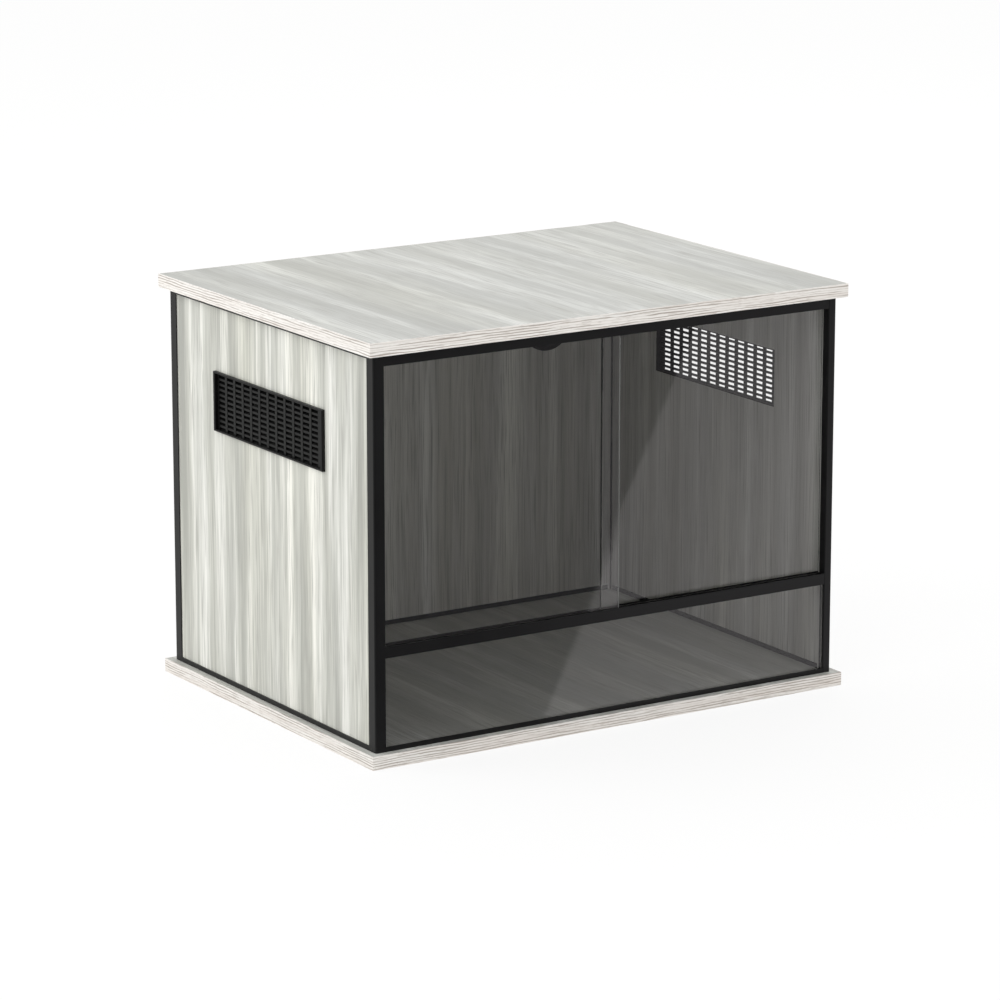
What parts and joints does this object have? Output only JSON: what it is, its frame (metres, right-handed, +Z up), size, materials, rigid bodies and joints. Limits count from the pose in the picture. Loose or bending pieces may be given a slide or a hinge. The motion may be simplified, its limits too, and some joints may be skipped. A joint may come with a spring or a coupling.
{
  "type": "terrarium cabinet",
  "caption": "Wood-look terrarium cabinet in a black metal frame, with sliding smoked-glass doors over a fixed lower pane, slotted side vents and a cable grommet in the back.",
  "frame": {"origin": "middle of the underside of the base board", "axes": "+Z up, the glass front faces -Y, +X to the right of someone who looks at the front"},
  "size_m": [0.61, 0.457, 0.457],
  "materials": {
    "laminate": "pale grey wood-grain laminate, satin",
    "edge_banding": "pale edge banding with lengthwise streaks, satin",
    "powder_coated_frame": "black powder coat on aluminium, satin",
    "black_plastic": "moulded black plastic, satin",
    "gasket_rubber": "black glazing rubber",
    "smoked_glass": "grey-tinted float glass with ground edges",
    "zinc_steel": "zinc-plated steel"
  },
  "bodies": {
    "cabinet": {"base_board": "laminate", "top_board": "laminate", "panel_left": "laminate", "panel_right": "laminate", "panel_rear": "laminate", "floor_panel": "laminate", "base_edge_banding": "edge_banding", "top_edge_banding": "edge_banding", "post_front_left": "powder_coated_frame", "post_front_right": "powder_coated_frame", "post_rear_left": "powder_coated_frame", "post_rear_right": "powder_coated_frame", "rail_bottom_left": "powder_coated_frame", "rail_bottom_right": "powder_coated_frame", "rail_bottom_rear": "powder_coated_frame", "rail_top_left": "powder_coated_frame", "rail_top_right": "powder_coated_frame", "rail_top_rear": "powder_coated_frame", "sill_rail": "powder_coated_frame", "transom": "powder_coated_frame", "head_rail": "powder_coated_frame", "track_lower": "black_plastic", "track_upper": "black_plastic", "vent_left": "black_plastic", "vent_right": "black_plastic", "grommet_liner": "black_plastic", "grommet_cap": "black_plastic", "pane_gasket_lower": "gasket_rubber", "pane_gasket_upper": "gasket_rubber", "lower_pane": "smoked_glass", "post_screw_1": "zinc_steel", "post_screw_2": "zinc_steel", "post_screw_3": "zinc_steel", "post_screw_4": "zinc_steel", "base_screw_1": "zinc_steel", "base_screw_2": "zinc_steel", "base_screw_3": "zinc_steel", "base_screw_4": "zinc_steel", "base_screw_5": "zinc_steel", "base_screw_6": "zinc_steel", "base_screw_7": "zinc_steel", "base_screw_8": "zinc_steel", "top_screw_1": "zinc_steel", "top_screw_2": "zinc_steel", "top_screw_3": "zinc_steel", "top_screw_4": "zinc_steel", "top_screw_5": "zinc_steel", "top_screw_6": "zinc_steel", "top_screw_7": "zinc_steel", "top_screw_8": "zinc_steel", "top_dowel_1": "zinc_steel", "top_dowel_2": "zinc_steel", "top_dowel_3": "zinc_steel", "top_dowel_4": "zinc_steel", "transom_pin_1": "zinc_steel", "transom_pin_2": "zinc_steel", "transom_pin_3": "zinc_steel", "transom_pin_4": "zinc_steel"},
    "front_door": {"door_left": "smoked_glass"},
    "rear_door": {"door_right": "smoked_glass"}
  },
  "joints": [
    {"name": "door_left_slide", "type": "slide", "parent": "cabinet", "child": "front_door", "axis": [1, 0, 0], "range_m": [0, 0.2733]},
    {"name": "door_right_slide", "type": "slide", "parent": "cabinet", "child": "rear_door", "axis": [-1, 0, 0], "range_m": [0, 0.2793]}
  ]
}
